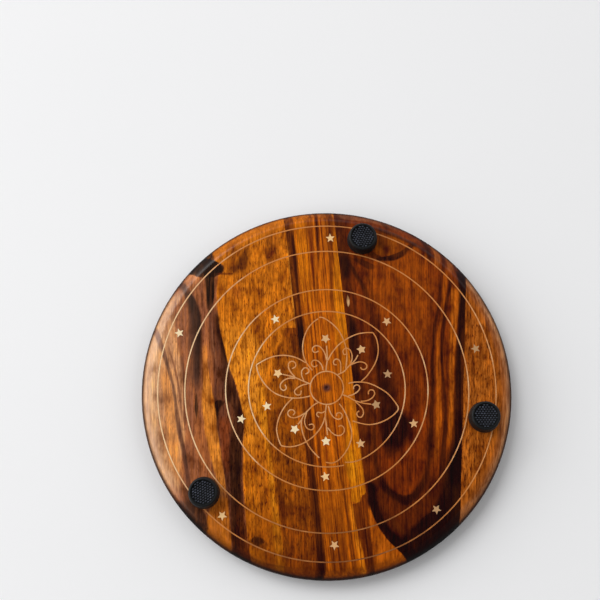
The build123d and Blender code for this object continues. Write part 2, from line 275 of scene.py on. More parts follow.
def makeFinishGroup():
    inputs = ["Colour", "Down"]
    for key in ("Pore", *shades):
        inputs += [key, key + " gain"]
    group, given, result = newGroup("woodFinish", inputs, ["Colour", "Height"])
    look = finishLook

    def tinted(ground, amount, over):
        return blendColours(group, amount, ground, over, "MULTIPLY")

    colour = given["Colour"]
    for key in shades:
        side = aboutMiddle(group, given[key], given[key + " gain"])
        colour = tinted(colour, times(group, side, -look["grainGain"], clamp=True), look["darkGrain"])
        colour = tinted(colour, times(group, side, look["grainGain"], clamp=True), look["lightGrain"])
    colour = tinted(colour, times(group, given["Pore"], given["Pore gain"]), look["poreTone"])
    plain = tinted(given["Colour"], 1.0, look["turnedTone"])
    colour = blendColours(group, ramp(group, given["Down"], *look["turnedByDepth"]), colour, plain)
    colour = blendColours(group, 1.0, colour, look["shadowLoss"], "SUBTRACT", clamped=True)
    # painted shade on the round edge as it turns down
    colour = tinted(colour, ramp(group, given["Down"], *look["paintedEdgeShadeByDepth"]), look["paintedEdgeShadeTone"])
    height = calc(group, "SUBTRACT", given["Fibre"], given["Pore"])
    feed(group, result, {"Colour": colour, "Height": height})
    return group


grainGroup = makeGrainGroup()
streakGroup = makeStreakGroup()
finishGroup = makeFinishGroup()


def edgeCurves(tree, along, run):  # the left edge, right edge and strength of a streak, as three curves
    made = addNode(tree, "ShaderNodeRGBCurve")

    def share(value):
        return (value + grain["reach"]) / (2 * grain["reach"])

    rows = []
    for at, left, right, *strength in sorted(run):
        rows.append((share(at), share(left), share(right), *(strength or [1])))
    rows = [(0.0, *rows[0][1:])] + rows + [(1.0, *rows[-1][1:])]
    for channel, curve in enumerate(made.mapping.curves[:3]):
        spots = [(row[0], row[channel + 1]) for row in rows]
        curve.points[0].location = spots[0]
        curve.points[1].location = spots[-1]
        for spot in spots[1:-1]:
            curve.points.new(*spot)
        for point in curve.points:
            point.handle_type = "AUTO_CLAMPED"
    made.mapping.update()
    same = addNode(tree, "ShaderNodeCombineColor", {0: along, 1: along, 2: along})
    feed(tree, made, {"Color": same.outputs[0]})
    return made.outputs["Color"]


def woodMaterial(name, wood):
    material, tree, shader = newMaterial(name)
    look = finishLook
    inputs = {key.capitalize(): wood[key] for key in ("lean", "seed", "ragged")}
    places = addNode(tree, "ShaderNodeGroup", inputs, node_tree=grainGroup).outputs

    def over(place, key):
        return ramp(tree, places[place], *look[key])

    colour = tone(*wood["ground"])
    for streakTone, (leftSoft, rightSoft), run in wood["streaks"]:
        inputs = {key: places[key] for key in ("Across", "Fibre", "Strand")}
        inputs.update({
            "Ground": colour,
            "Tone": tone(*streakTone),
            "Edges": edgeCurves(tree, places["Along"], run),
            "Comb": wood["comb"],
            "Left soft": leftSoft,
            "Right soft": rightSoft,
        })
        colour = addNode(tree, "ShaderNodeGroup", inputs, node_tree=streakGroup).outputs["Colour"]

    closed = times(tree, over("East", "poresByX"), over("Centre", "poresByRadius"))
    inputs = {"Colour": colour, "Down": places["Down"]}
    for key in ("Pore", *shades):
        gain = wood[key.lower()]
        inputs[key] = places[key]
        inputs[key + " gain"] = times(tree, closed, gain) if key in ("Pore", "Fleck") else gain
    finish = addNode(tree, "ShaderNodeGroup", inputs, node_tree=finishGroup).outputs
    # painted sheen: the left of the board is paled, where the side light falls
    paintedSheen = times(tree, over("East", "paintedSheenByX"), over("Down", "paintedSheenByDepth"))
    colour = blendColours(tree, paintedSheen, finish["Colour"], tone(*look["paintedSheenTone"]))
    colour = blendColours(tree, over("Centre", "centreDarkByRadius"), colour, tone(*look["centreDarkTone"]))

    kept = calc(tree, "SUBTRACT", over("East", "keptByX"), 1.0)
    kept = calc(tree, "MULTIPLY_ADD", over("Down", "wornByDepth"), kept, 1.0)
    gloss = times(tree, times(tree, over("Down", "glossByDepth"), kept), over("Centre", "glossByRadius"))
    feed(tree, shader, {
        "Base Color": colour,
        "Roughness": look["roughness"],
        "Specular IOR Level": look["specular"],
        "Normal": bump(tree, finish["Height"], *look["grainBump"]),
        "Coat Weight": gloss,
        "Coat Roughness": look["coatRoughness"],
        "Coat IOR": look["coatIor"],
        "Coat Normal": bump(tree, plainNoise(tree, *look["ripple"]), *look["rippleBump"]),
    })
    return material


# The figure of each stave. A streak is its colour, how soft its left and right edges are, and its run:
# rows of the place along Y, the left edge, the right edge and, where it isn't 1, the strength there.

leftStreaks = [
    # everything left of the long bend, and the pale slanting stripes by the rim
    ((156, 94, 66), (1.0, 0.6), [
        (-128, -130, -48), (-115, -130, -51.3), (-100, -130, -53.8), (-81, -130, -55.8), (-60, -130, -57),
        (-40, -130, -57.3), (-23, -130, -56.7), (-12, -130, -58.8), (2, -130, -63), (15, -130, -67.6),
        (34, -130, -72.8), (45, -130, -75.3), (63, -130, -77.3), (80, -130, -76.6), (82, -130, -73.5),
        (87, -130, -73), (90, -130, -78), (94, -130, -84)]),
    ((220, 158, 112), (1.0, 1.2), [
        (72, -130, -106, 0), (60, -130, -108.5, 0.8), (50, -130, -107, 0.9), (40, -130, -106),
        (30, -130, -104), (20, -130, -101.5), (10, -130, -100), (0, -130, -99), (-10, -130, -98.5, 0.9),
        (-20, -130, -98, 0.9), (-35, -130, -97, 0.9), (-50, -130, -99.5, 0.9), (-65, -130, -100, 0.7),
        (-75, -130, -100, 0.3), (-82, -130, -100, 0)]),
    ((206, 132, 70), (2.0, 2.0), [
        (-15, -116, -104, 0), (-30, -114, -103, 0.6), (-50, -112, -101, 0.7), (-65, -106, -99, 0.5),
        (-75, -104, -98, 0)]),
    ((178, 104, 58), (1.2, 1.2), [
        (-15, -92, -86, 0), (-28, -91, -84, 0.7), (-42, -89.5, -81.5, 0.7), (-55, -86, -79, 0.5),
        (-64, -84, -79, 0)]),
    ((228, 146, 66), (1.2, 0.6), [
        (22, -116, -113.5, 0), (12, -115.5, -110.4, 0.5), (0, -114, -107.2, 0.8), (-12, -112, -104.6, 0.8),
        (-25, -110, -103, 0.6), (-40, -108, -100.5, 0.5), (-55, -105, -98, 0.3), (-68, -102, -96, 0)]),
    ((86, 46, 38), (0.6, 0.6), [
        (42, -119.5, -117.5, 0), (36, -118, -115.8, 0.8), (28, -116, -113.2, 0.95), (20, -113.5, -110.9),
        (10, -110, -107.8, 0.95), (0, -106.8, -104.9, 0.9), (-10, -104.6, -102.7, 0.85),
        (-20, -103.6, -100.8, 0.95), (-30, -101.9, -99), (-40, -99.6, -96.8), (-50, -97.6, -94.8),
        (-60, -96, -93.3, 0.9), (-72, -95, -92, 0.7)]),
    ((132, 76, 52), (0.5, 0.5), [
        (34, -112, -111, 0), (26, -110, -108.9, 0.8), (15, -106.5, -105.2, 0.9), (5, -103.8, -102.5, 0.9),
        (-5, -101.8, -100.5, 0.9), (-15, -100.4, -99.2, 0.8), (-28, -99, -98, 0)]),
    ((104, 54, 38), (0.6, 0.8), [
        (30, -103, -101.5, 0), (20, -101.5, -99.5, 0.8), (8, -100, -98, 0.9), (-3, -99, -97, 0.9),
        (-14, -98.5, -96.8, 0.8), (-25, -98, -96, 0.4), (-32, -97.5, -96, 0)]),
    ((170, 118, 88), (1.0, 1.0), [
        (57, -113, -110.5, 0), (45, -117, -114, 0.6), (35, -121, -118, 0.5), (25, -124, -121, 0)]),
    # a painted highlight: the pale band along the left rim, where the side light falls
    ((232, 184, 142), (3.0, 2.5), [
        (75, -130, -95, 0), (66, -130, -101, 0.4), (50, -130, -110.5, 0.75), (30, -130, -115.5, 0.85),
        (0, -130, -118, 0.9), (-30, -130, -115.5, 0.9), (-50, -130, -109, 0.85), (-65, -130, -101, 0.6),
        (-76, -130, -94, 0)]),
    ((112, 70, 66), (0.7, 0.7), [
        (46, -122, -119, 0), (41, -120.8, -117.4, 0.75), (34, -118.8, -115.2, 0.85),
        (27, -116.4, -113, 0.7), (20, -114, -111, 0)]),
    # the dark streak from the rim, and the black patch with its tail
    ((206, 134, 88), (1.0, 1.2), [
        (64, -97, -95, 0), (70, -99.5, -94, 0.9), (76, -100, -92), (81, -100, -90.5, 0.9),
        (86, -98, -90, 0)]),
    ((70, 42, 38), (1.5, 1.2), [
        (82, -101, -98, 0), (76, -104, -99.5, 0.7), (72, -103, -98, 0.9), (68, -101.5, -95.5, 0.95),
        (63, -99.5, -92.3), (58, -97.5, -90), (52, -96.5, -88.6), (45, -96.3, -87.6),
        (36, -96.2, -87, 0.95), (28, -96, -86.6, 0.95), (20, -95.6, -86.4, 0.9), (12, -95.4, -86.6, 0.9),
        (5, -94.5, -87, 0.7), (-2, -93, -87.5, 0.35), (-8, -92, -88, 0)]),
    ((44, 28, 28), (1.0, 0.8), [
        (70, -100, -97, 0), (66, -98.5, -95, 0.8), (60, -96.5, -91.5, 0.95), (53, -94.5, -89.4, 0.95),
        (46, -93.5, -88.4, 0.9), (38, -92.5, -87.8, 0.8), (30, -92, -88, 0.75), (22, -91.5, -87.6, 0.7),
        (12, -91.5, -88, 0.6), (4, -91, -88.3, 0.4), (-2, -90.5, -88.5, 0)]),
    ((30, 17, 14), (0.5, 0.5), [
        (-2, -89.6, -89.7, 0), (-5, -90.1, -89.4), (-9, -90.7, -88.9), (-13, -90.9, -88.5),
        (-17, -90.3, -88.7), (-21, -89.5, -89.2), (-23, -89.3, -89.5, 0)]),
    ((34, 22, 22), (1.2, 0.8), [
        (77.5, -88, -79.5, 0), (79, -91, -78.6, 0.9), (81, -95, -75.5), (82.5, -99, -73), (84, -106, -72.4),
        (88, -106, -73.6), (90, -106, -77), (91.5, -106, -80), (93, -106, -83.5), (95, -106, -87),
        (98, -106, -90, 0)]),
    ((32, 20, 20), (1.0, 0.6), [
        (80, -90, -78, 0), (82, -96, -75, 0.9), (84, -106, -73.4), (88, -106, -74.6), (90, -106, -78),
        (93, -106, -84.5), (96, -106, -89, 0.9), (98, -106, -91, 0)]),
    ((30, 18, 16), (0.8, 0.6), [
        (82, -86, -79.3), (76, -85.6, -79), (70, -85, -78.8), (64, -84.6, -79), (58, -84.2, -79.8, 0.8),
        (52, -83, -80, 0.4), (46, -82.5, -80, 0)]),
    ((92, 52, 44), (0.6, 0.6), [
        (74, -88.6, -87.6, 0), (68, -88.4, -87.2, 0.6), (60, -87.8, -86.8, 0.5), (52, -87.4, -86.4, 0)]),
    # the broad dark band beside the long bend
    ((90, 49, 40), (1.2, 0.6), [
        (64, -80, -77.3, 0), (56, -82, -76.6, 0.6), (48, -82.6, -75.6, 0.8), (40, -82, -74.5, 0.9),
        (33, -81.4, -72.5, 0.85), (22, -80, -69.8, 0.85), (12, -79, -66.5, 0.85), (2, -78.4, -63.3, 0.9),
        (-6, -79, -61, 0.9), (-14, -78, -58.3, 0.9), (-24, -76, -57, 0.85), (-35, -74, -57.3, 0.85),
        (-45, -72.3, -57.4), (-60, -70, -57.2), (-75, -67.5, -56.3), (-90, -66, -55), (-105, -64, -53.3),
        (-122, -60, -50)]),
    ((44, 22, 18), (1.2, 0.5), [
        (60, -79, -77.4, 0), (50, -78, -75.9, 0.7), (40, -76.8, -74.2, 0.8), (30, -74.5, -71.5, 0.85),
        (20, -72.5, -69, 0.7), (10, -71.5, -65.8, 0.65), (2, -71, -63.2, 0.7), (-6, -69.5, -61, 0.75),
        (-12, -66, -59, 0.7), (-20, -63.5, -57.5, 0.8), (-30, -66, -57.4, 0.85), (-45, -66, -58.5, 0.95),
        (-60, -65.5, -58.5), (-75, -64.5, -57.5, 0.95), (-90, -64, -56), (-105, -63, -54),
        (-122, -59, -50.5)]),
    ((136, 64, 34), (1.2, 1.2), [
        (-16, -74, -68, 0), (-26, -74, -66.5, 0.8), (-36, -72.5, -66.5, 0.8), (-48, -71, -66.8, 0.7),
        (-58, -69, -66.5, 0.4), (-66, -68, -66, 0)]),
    ((28, 14, 12), (0.7, 1.0), [
        (-7.5, -74.5, -74.6, 0), (-9.3, -77, -71.5), (-11, -77.9, -71), (-13, -77.8, -72.8),
        (-16, -77.2, -74, 0.95), (-19, -76.5, -74.8, 0.9), (-23, -75.8, -75.6, 0.5),
        (-25, -75.4, -75.5, 0)]),
    ((150, 98, 74), (0.5, 0.5), [
        (52, -82, -81, 0), (44, -81, -80.2, 0.6), (34, -80, -79.2, 0.6), (24, -78.6, -77.8, 0.5),
        (14, -76.5, -75.8, 0.4), (6, -75.5, -75, 0)]),
    ((176, 106, 72), (0.8, 0.8), [
        (44, -86.5, -85, 0), (36, -86.6, -84.4, 0.8), (26, -86.4, -83.6, 0.9), (16, -86.3, -82.8, 0.9),
        (8, -86, -82, 0.6), (0, -86, -82, 0)]),
    ((222, 137, 52), (0.9, 0.6), [
        (38, -86, -84.8, 0), (28, -86, -83.6, 0.55), (18, -85.8, -82.6, 0.75), (10, -85.8, -81.6, 0.9),
        (2, -85.7, -80.2), (-8, -86, -78.3), (-18, -85.5, -76.6), (-30, -83.5, -75), (-42, -80.8, -73),
        (-52, -78, -71.2), (-60, -75.5, -69.6, 0.9), (-70, -73, -68.5, 0.5), (-78, -72, -67, 0)]),
    ((188, 106, 32), (0.9, 0.6), [
        (-68, -73, -68, 0), (-75, -75.5, -67, 0.7), (-81, -78, -66.5, 0.95), (-90, -81, -65.5),
        (-100, -81, -64.5), (-112, -80, -63)]),
    ((60, 34, 28), (1.5, 1.0), [
        (-72, -98, -92, 0), (-78, -100, -88, 0.8), (-86, -100, -81.5), (-95, -100, -79.5),
        (-105, -100, -79)]),
    # the swirl and the crack by the black patch
    ((150, 80, 20), (2.5, 2.5), [
        (79, -68, -58, 0), (82.5, -69, -56, 0.75), (87, -69, -55, 0.85), (92, -67, -54.5, 0.8),
        (97, -66, -54.5, 0.7), (102, -66, -55, 0.5), (108, -64, -57, 0)]),
    ((86, 38, 11), (1.5, 0.8), [
        (82, -66, -60, 0), (85, -65, -57, 0.85), (89, -63.5, -55.8, 0.9), (94, -61, -55.5, 0.75),
        (99, -59, -55.5, 0.6), (104, -58.5, -56, 0)]),
    ((110, 52, 14), (1.5, 1.5), [
        (82, -69, -62, 0), (84, -69.5, -63, 0.7), (87, -68, -63, 0.6), (90, -66, -63, 0)]),
    ((184, 104, 26), (1.0, 1.0), [
        (90, -74, -68, 0), (94, -75, -66, 0.6), (98, -72, -64, 0.6), (102, -70, -64, 0)]),
    ((96, 36, 12), (0.8, 1.5), [
        (80.4, -76, -68, 0), (81, -77, -65.5, 0.95), (81.8, -77, -66, 0.95), (82.6, -74, -68, 0)]),
    ((150, 72, 28), (2.5, 2.5), [(59, -66, -62, 0), (68, -67, -60, 0.6), (77, -66, -61, 0)]),
    ((150, 80, 26), (2.5, 2.5), [
        (118, -46, -36, 0), (110, -45, -34, 0.6), (98, -43, -34, 0.7), (88, -42, -36, 0.5),
        (78, -41, -37, 0)]),
    # golden wood beside the long bend, browner wood towards the middle stave
    ((232, 146, 44), (0.6, 4.0), [
        (60, -77, -62, 0), (45, -75.3, -54, 0.4), (30, -71.5, -47, 0.75), (15, -67.6, -45, 0.8),
        (0, -62, -45, 0.8), (-12, -58.8, -46, 0.8), (-25, -56.7, -46, 0.6), (-40, -57.3, -46, 0.4),
        (-60, -57, -47, 0)]),
    ((112, 49, 15), (1.4, 0.6), [
        (42.2, -30, -20, 0), (41, -30.5, -18, 0.95), (36, -31, -18, 0.85), (31, -32, -17, 0.75),
        (28, -34.5, -16, 0.65), (20, -36, -15, 0.6), (10, -38, -14, 0.55), (0, -42, -13, 0.55),
        (-15, -42, -13, 0.65), (-35, -39.5, -11, 0.7), (-50, -37.5, -9, 0.7), (-75, -34, -7, 0.78),
        (-95, -31, -5, 0.7), (-120, -28, -3, 0.8)]),
    ((84, 34, 10), (0.6, 0.6), [
        (40, -24, -22.5, 0), (37, -24.5, -22, 0.9), (30, -24, -21.5, 0.9), (24, -23, -21, 0.5),
        (18, -22, -20, 0)]),
    ((92, 38, 12), (0.6, 0.6), [
        (32, -34, -32.5, 0), (28, -34.5, -32.6, 0.9), (22, -34.5, -32.8, 0.8), (15, -35, -33, 0)]),
    ((98, 42, 13), (0.5, 0.5), [
        (38, -28, -27.2, 0), (34, -28.2, -26.8, 0.8), (26, -28.4, -27, 0.8), (19, -28, -27, 0)]),
    ((168, 90, 24), (0.6, 0.6), [
        (38, -29, -27, 0), (34, -29, -26.5, 0.5), (26, -29.5, -27, 0.5), (18, -30, -28, 0)]),
    ((92, 34, 12), (1.5, 1.0), [
        (42.6, -28, -24, 0), (41.9, -29.5, -21, 0.9), (41.2, -30, -21, 0.8), (40.3, -29, -22, 0)]),
    ((216, 134, 32), (1.2, 0.6), [
        (12, -46, -43, 0), (0, -47, -42.5, 0.5), (-15, -48, -41.5, 0.9), (-30, -44, -40, 0.9),
        (-45, -41.5, -38.3, 0.9), (-60, -40, -36.5, 0.8), (-75, -38, -34.5, 0.9), (-90, -37, -32, 0.9),
        (-105, -35.5, -30, 0.8), (-120, -34, -28.5, 0.6)]),
    ((160, 84, 22), (2.0, 1.5), [
        (-20, -50, -45, 0), (-40, -50, -43, 0.5), (-60, -49, -41, 0.6), (-80, -46, -39, 0.6),
        (-100, -45, -37.5, 0.6), (-120, -42, -36, 0.6)]),
    ((84, 34, 10), (1.0, 1.0), [
        (-50, -33.5, -31, 0), (-62, -34, -30.5, 0.7), (-75, -33.2, -29.3, 0.8), (-85, -31.5, -28, 0.7),
        (-95, -30, -27.5, 0.4), (-105, -29, -27, 0)]),
    ((95, 40, 12), (1.2, 1.2), [
        (-14, -37, -34, 0), (-28, -37, -33, 0.5), (-45, -35, -31, 0.5), (-56, -34, -31, 0)]),
    ((110, 46, 10), (6.0, 3.0), [
        (-66, -60, -4, 0), (-82, -60, -4, 0.35), (-96, -60, -2, 0.5), (-125, -60, 0, 0.65)]),
    ((186, 98, 24), (1.0, 0.5), [
        (4, -20, -18, 0), (-15, -20.5, -17, 0.7), (-30, -20, -15.6, 0.7), (-45, -19, -14.5, 0.7),
        (-60, -18, -13.5, 0.5), (-85, -14, -11.5, 0)]),
    ((120, 56, 16), (3.0, 3.0), [
        (-94, -50, -44, 0), (-99, -53, -40, 0.5), (-105, -53, -40, 0.5), (-111, -50, -43, 0)]),
    ((54, 24, 8), (1.2, 1.2), [
        (-99, -47.2, -47.4, 0), (-100.6, -49.6, -45, 0.9), (-102, -51.5, -43), (-103.4, -51.8, -42.4),
        (-105, -49.6, -43.6, 0.95), (-106.8, -47, -45.2, 0.8), (-108, -46, -46.2, 0)]),
    # painted shade on the lower rim, away from the light
    ((30, 13, 6), (1.0, 2.0), [
        (-80, -130, -95, 0), (-88, -130, -87.4, 0.4), (-100, -130, -73.3, 0.5), (-110, -130, -57.2, 0.5),
        (-118, -130, -38, 0.4), (-122, -130, -22, 0.3)]),
    # dark wood and a pale hairline along the joint
    ((86, 36, 12), (0.4, 3.0), [
        (124, -30.3, -15), (110, -28.7, -15), (100, -27.2, -15, 0.95), (85, -25.6, -15, 0.95),
        (70, -24.2, -14), (55, -22.9, -14), (42, -21.8, -14, 0.95), (30, -20.5, -14, 0.9),
        (18, -19.5, -14, 0.6), (8, -18.3, -12, 0.3), (-5, -17.2, -12, 0.5), (-20, -16.2, -10, 0.8),
        (-40, -14.8, -10, 0.8), (-60, -13.5, -8, 0.75), (-80, -11.5, -5, 0.65), (-100, -9.7, -3, 0.65),
        (-122, -8, 0, 0.8)]),
    ((220, 150, 60), (0.3, 0.3), [
        (108, -28.9, -28.4, 0), (100, -27.8, -27.3, 0.5), (85, -26.2, -25.7, 0.6), (70, -24.8, -24.3, 0.6),
        (55, -23.5, -23, 0.7), (45, -22.6, -22.1, 0.6), (41, -22.2, -21.8, 0)]),
]
leftWood = {
    "ground": (204, 116, 27), "lean": -0.03, "seed": 1.0, "ragged": 0.6, "comb": 4.0,
    "fibre": 0.95, "thread": 0.25, "stripe": 0.5, "pore": 1.05, "fleck": 1.0, "cloud": 0.95,
    "streaks": leftStreaks,
}

middleStreaks = [
    ((206, 110, 22), (2.0, 3.0), [
        (124, -24, -4, 0.6), (95, -22, -3, 0.6), (70, -20, -2, 0.6), (48, -18, -3, 0.4), (34, -16, -5, 0)]),
    # the dark wood along the left joint
    ((88, 37, 12), (0.8, 0.6), [
        (124, -40, -23, 0.5), (110, -40, -22.6, 0.7), (100, -40, -21, 0.85), (90, -40, -20, 0.9),
        (80, -40, -19, 0.85), (70, -40, -18.8, 0.8), (60, -40, -17.6, 0.85), (52, -40, -16.6, 0.95),
        (42, -40, -15.6), (34, -40, -15.8), (28, -40, -16.4, 0.8), (18, -40, -15, 0.6),
        (5, -40, -13.5, 0.5), (-8, -40, -12, 0.6), (-20, -40, -11, 0.8), (-40, -40, -9.4, 0.9),
        (-55, -40, -8.4, 0.95), (-70, -40, -6.6, 0.95), (-90, -40, -4), (-110, -40, -2),
        (-126, -40, -0.6)]),
    ((40, 16, 8), (1.0, 0.8), [
        (56, -21.5, -18, 0), (50, -21.5, -17, 0.6), (44, -21, -16.2, 0.9), (36, -20.6, -15.8),
        (30, -20, -16.2, 0.8), (22, -19, -16.6, 0.4), (14, -18, -16, 0)]),
    ((58, 23, 9), (0.8, 0.8), [
        (118, -25.2, -23.6, 0), (108, -25, -23, 0.8), (96, -24, -21.5, 0.8), (84, -22.8, -20.6, 0.8),
        (72, -21.8, -20, 0.7), (62, -21, -19, 0.5), (54, -20.5, -19, 0)]),
    ((44, 16, 8), (1.2, 1.0), [
        (-30, -14, -10.5, 0), (-45, -12.6, -9.8, 0.6), (-60, -11.4, -8.2, 0.75), (-75, -9.6, -6.6, 0.75),
        (-92, -8, -4.4, 0.8), (-105, -7, -3, 0.9), (-126, -6, -1)]),
    ((196, 122, 70), (1.0, 1.0), [(122, -40, 40, 0), (125, -40, 40, 0.5), (128, -40, 40, 0.7)]),
    # golden wood at the top, and the fine dark lines
    ((208, 118, 20), (1.0, 1.0), [
        (124, -23, -12, 0.6), (110, -22, -11.5, 0.9), (100, -21, -11.5, 0.9), (90, -20, -11.3, 0.9),
        (80, -19, -11, 0.8), (70, -17.5, -10.6, 0.7), (60, -16.5, -10, 0.5), (50, -16, -10, 0)]),
    ((112, 50, 14), (0.5, 0.5), [
        (124, -11.5, -9.6, 0.6), (110, -10.8, -9, 0.6), (95, -10, -8.6, 0.5), (80, -9.2, -8.2, 0.5),
        (65, -8.6, -7.8, 0.4), (50, -8, -7.2, 0)]),
    ((92, 38, 12), (0.7, 0.7), [
        (124, -8, -5.2, 0.9), (110, -7.2, -4.4, 0.95), (98, -6.8, -4.6, 0.9), (88, -6.8, -5, 0.8),
        (75, -7.4, -6, 0.6), (62, -7, -5.8, 0.4), (50, -6.4, -5.4, 0)]),
    ((146, 76, 22), (1.0, 1.0), [
        (124, -3, 4, 0.7), (110, -3, 3, 0.6), (100, -2.5, 2.5, 0.4), (88, -2, 2, 0)]),
    ((110, 50, 14), (0.6, 0.8), [
        (124, 0.5, 4.8, 0.9), (110, 1.4, 5.2, 0.9), (98, 1.8, 4.6, 0.8), (88, 2.2, 4.6, 0.75),
        (78, 2.4, 4.4, 0.75), (66, 2.6, 4.2, 0.7), (54, 3, 4.5, 0.6), (42, 3.4, 4.9, 0.4), (33, 4, 5, 0)]),
    ((110, 50, 14), (0.5, 0.5), [
        (-18, 3, 4.2, 0), (-35, 4, 5.2, 0.5), (-50, 7.5, 8.8, 0.7), (-65, 9.5, 10.8, 0.8),
        (-80, 11.5, 12.8, 0.8), (-95, 14.5, 15.8, 0.9), (-110, 17, 18, 0.9), (-125, 19, 20, 0.8)]),
    ((118, 54, 14), (0.5, 0.5), [
        (0, -7, -5.8, 0), (-15, -5, -4, 0.5), (-30, -3.8, -2.6, 0.6), (-50, -1.5, -0.4, 0.6),
        (-70, 1.5, 2.6, 0.7), (-90, 4.5, 5.5, 0.6), (-110, 7, 8, 0.6), (-125, 9, 10, 0.5)]),
    ((116, 53, 12), (4.0, 6.0), [
        (-68, -6, 14, 0), (-84, -5, 15, 0.4), (-100, -3, 18, 0.5), (-125, 0, 24, 0.6)]),
    # the yellow strip along the right joint, which ends raggedly
    ((204, 120, 20), (0.7, 0.4), [
        (124, 4.5, 40, 0.4), (110, 5, 40, 0.5), (95, 5, 40, 0.7), (80, 5, 40, 0.8), (65, 5, 40, 0.9),
        (50, 6.5, 40, 0.9), (35, 6.5, 40, 0.7), (20, 9, 40, 0.4), (5, 11, 40, 0.35), (-10, 12.5, 40, 0.5),
        (-25, 13.5, 40, 0.85), (-40, 12.5, 40), (-50, 12, 40), (-58, 12.8, 40), (-64, 14.5, 40),
        (-71, 16, 40), (-72.5, 16, 25), (-74, 16.2, 22.8), (-76, 16, 22.2), (-77, 15.6, 22.2),
        (-78, 19.6, 22.4), (-79.5, 21.7, 22.5), (-80.2, 22, 22.2, 0)]),
    ((232, 150, 28), (1.5, 1.5), [
        (-33, 15, 19, 0), (-45, 13.5, 19.5, 0.6), (-55, 13.5, 20, 0.7), (-63, 15.5, 20, 0.5),
        (-71, 17, 20, 0)]),
    ((112, 49, 16), (0.5, 0.5), [
        (-71, 26, 40, 0), (-72.3, 25.2, 40), (-74, 23.1, 40), (-77, 22.5, 40), (-78.2, 20, 40),
        (-79.5, 16.6, 40), (-84, 16.8, 40, 0.95), (-95, 19.5, 40, 0.95), (-105, 22, 40, 0.9),
        (-118, 25, 40, 0.85), (-127, 26.5, 40, 0.85)]),
    ((206, 120, 28), (0.6, 0.5), [
        (-74, 12.5, 15.5, 0), (-80, 13.8, 16.8, 0.7), (-90, 15.8, 18.6, 0.8), (-100, 18, 21, 0.8),
        (-112, 20.5, 23.8, 0.8), (-125, 22.5, 26, 0.7)]),
    ((84, 36, 12), (0.8, 0.8), [
        (-90, 24, 27, 0), (-100, 24.5, 28, 0.8), (-112, 26.5, 30, 0.8), (-125, 28, 32, 0.8)]),
    ((36, 15, 7), (0.7, 1.2), [
        (47, -21.5, -18, 0), (43, -21.5, -15.6, 0.8), (38, -21.5, -15.2), (32, -21, -15.4, 0.9),
        (26, -20.5, -15.8, 0.6), (19, -20, -16, 0.3), (12, -19, -16.5, 0)]),
]
middleWood = {
    "ground": (184, 96, 20), "lean": -0.09, "seed": 2.0, "ragged": 1.6, "comb": 3.5,
    "fibre": 0.75, "thread": 1.3, "stripe": 0.9, "pore": 0.45, "fleck": 0.5, "cloud": 0.45,
    "streaks": middleStreaks,
}

